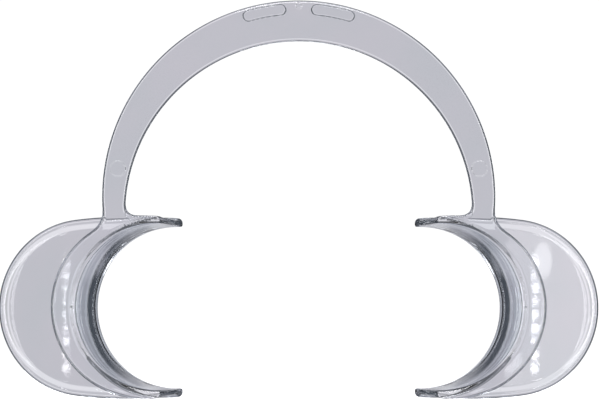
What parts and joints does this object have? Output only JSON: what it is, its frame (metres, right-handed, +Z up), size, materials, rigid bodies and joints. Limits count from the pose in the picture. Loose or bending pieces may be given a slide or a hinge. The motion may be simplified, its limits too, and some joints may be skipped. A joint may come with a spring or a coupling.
{
  "type": "cheek retractor",
  "caption": "Clear dental cheek retractor: a springy bow whose legs carry a C-shaped lip channel on each side, holding the lips and cheeks away from the teeth.",
  "frame": {"origin": "middle of the bounding box on the level that the two C-shaped holders stand on", "axes": "+X to the right seen from the front, +Y from the front flanges towards the back flanges, +Z up from the holders to the crown of the bow"},
  "size_m": [0.142, 0.0234, 0.0933],
  "materials": {
    "clear_plastic": "clear, glossy, moulded"
  },
  "bodies": {
    "crown": {"crown": "clear_plastic", "gate_mark": "clear_plastic", "left_grip_pad": "clear_plastic", "right_grip_pad": "clear_plastic"},
    "left_arm": {"left_bow_arm": "clear_plastic", "left_leg": "clear_plastic", "left_ejector_mark": "clear_plastic"},
    "left_cheek": {"left_arm_foot": "clear_plastic", "left_front_flange": "clear_plastic", "left_lip_channel_web": "clear_plastic", "left_back_flange": "clear_plastic", "left_back_flange_rim": "clear_plastic", "left_upper_horn": "clear_plastic", "left_lower_horn": "clear_plastic"},
    "right_arm": {"right_bow_arm": "clear_plastic", "right_leg": "clear_plastic", "right_ejector_mark": "clear_plastic"},
    "right_cheek": {"right_arm_foot": "clear_plastic", "right_front_flange": "clear_plastic", "right_lip_channel_web": "clear_plastic", "right_back_flange": "clear_plastic", "right_back_flange_rim": "clear_plastic", "right_upper_horn": "clear_plastic", "right_lower_horn": "clear_plastic"}
  },
  "joints": [
    {"name": "left_flex", "type": "hinge", "parent": "crown", "child": "left_arm", "pos_m": [-0.02443, -0.01006, 0.08093], "axis": [0, -1, 0], "range_deg": [-5, 15], "stiffness_Nm_per_rad": 2.5},
    {"name": "left_twist", "type": "hinge", "parent": "left_arm", "child": "left_cheek", "pos_m": [-0.04312, -0.01006, 0.0484], "axis": [0, 0, -1], "range_deg": [-12, 12], "stiffness_Nm_per_rad": 1},
    {"name": "right_flex", "type": "hinge", "parent": "crown", "child": "right_arm", "pos_m": [0.02443, -0.01006, 0.08093], "axis": [0, 1, 0], "range_deg": [-5, 15], "stiffness_Nm_per_rad": 2.5},
    {"name": "right_twist", "type": "hinge", "parent": "right_arm", "child": "right_cheek", "pos_m": [0.04312, -0.01006, 0.0484], "axis": [0, 0, 1], "range_deg": [-12, 12], "stiffness_Nm_per_rad": 1}
  ]
}
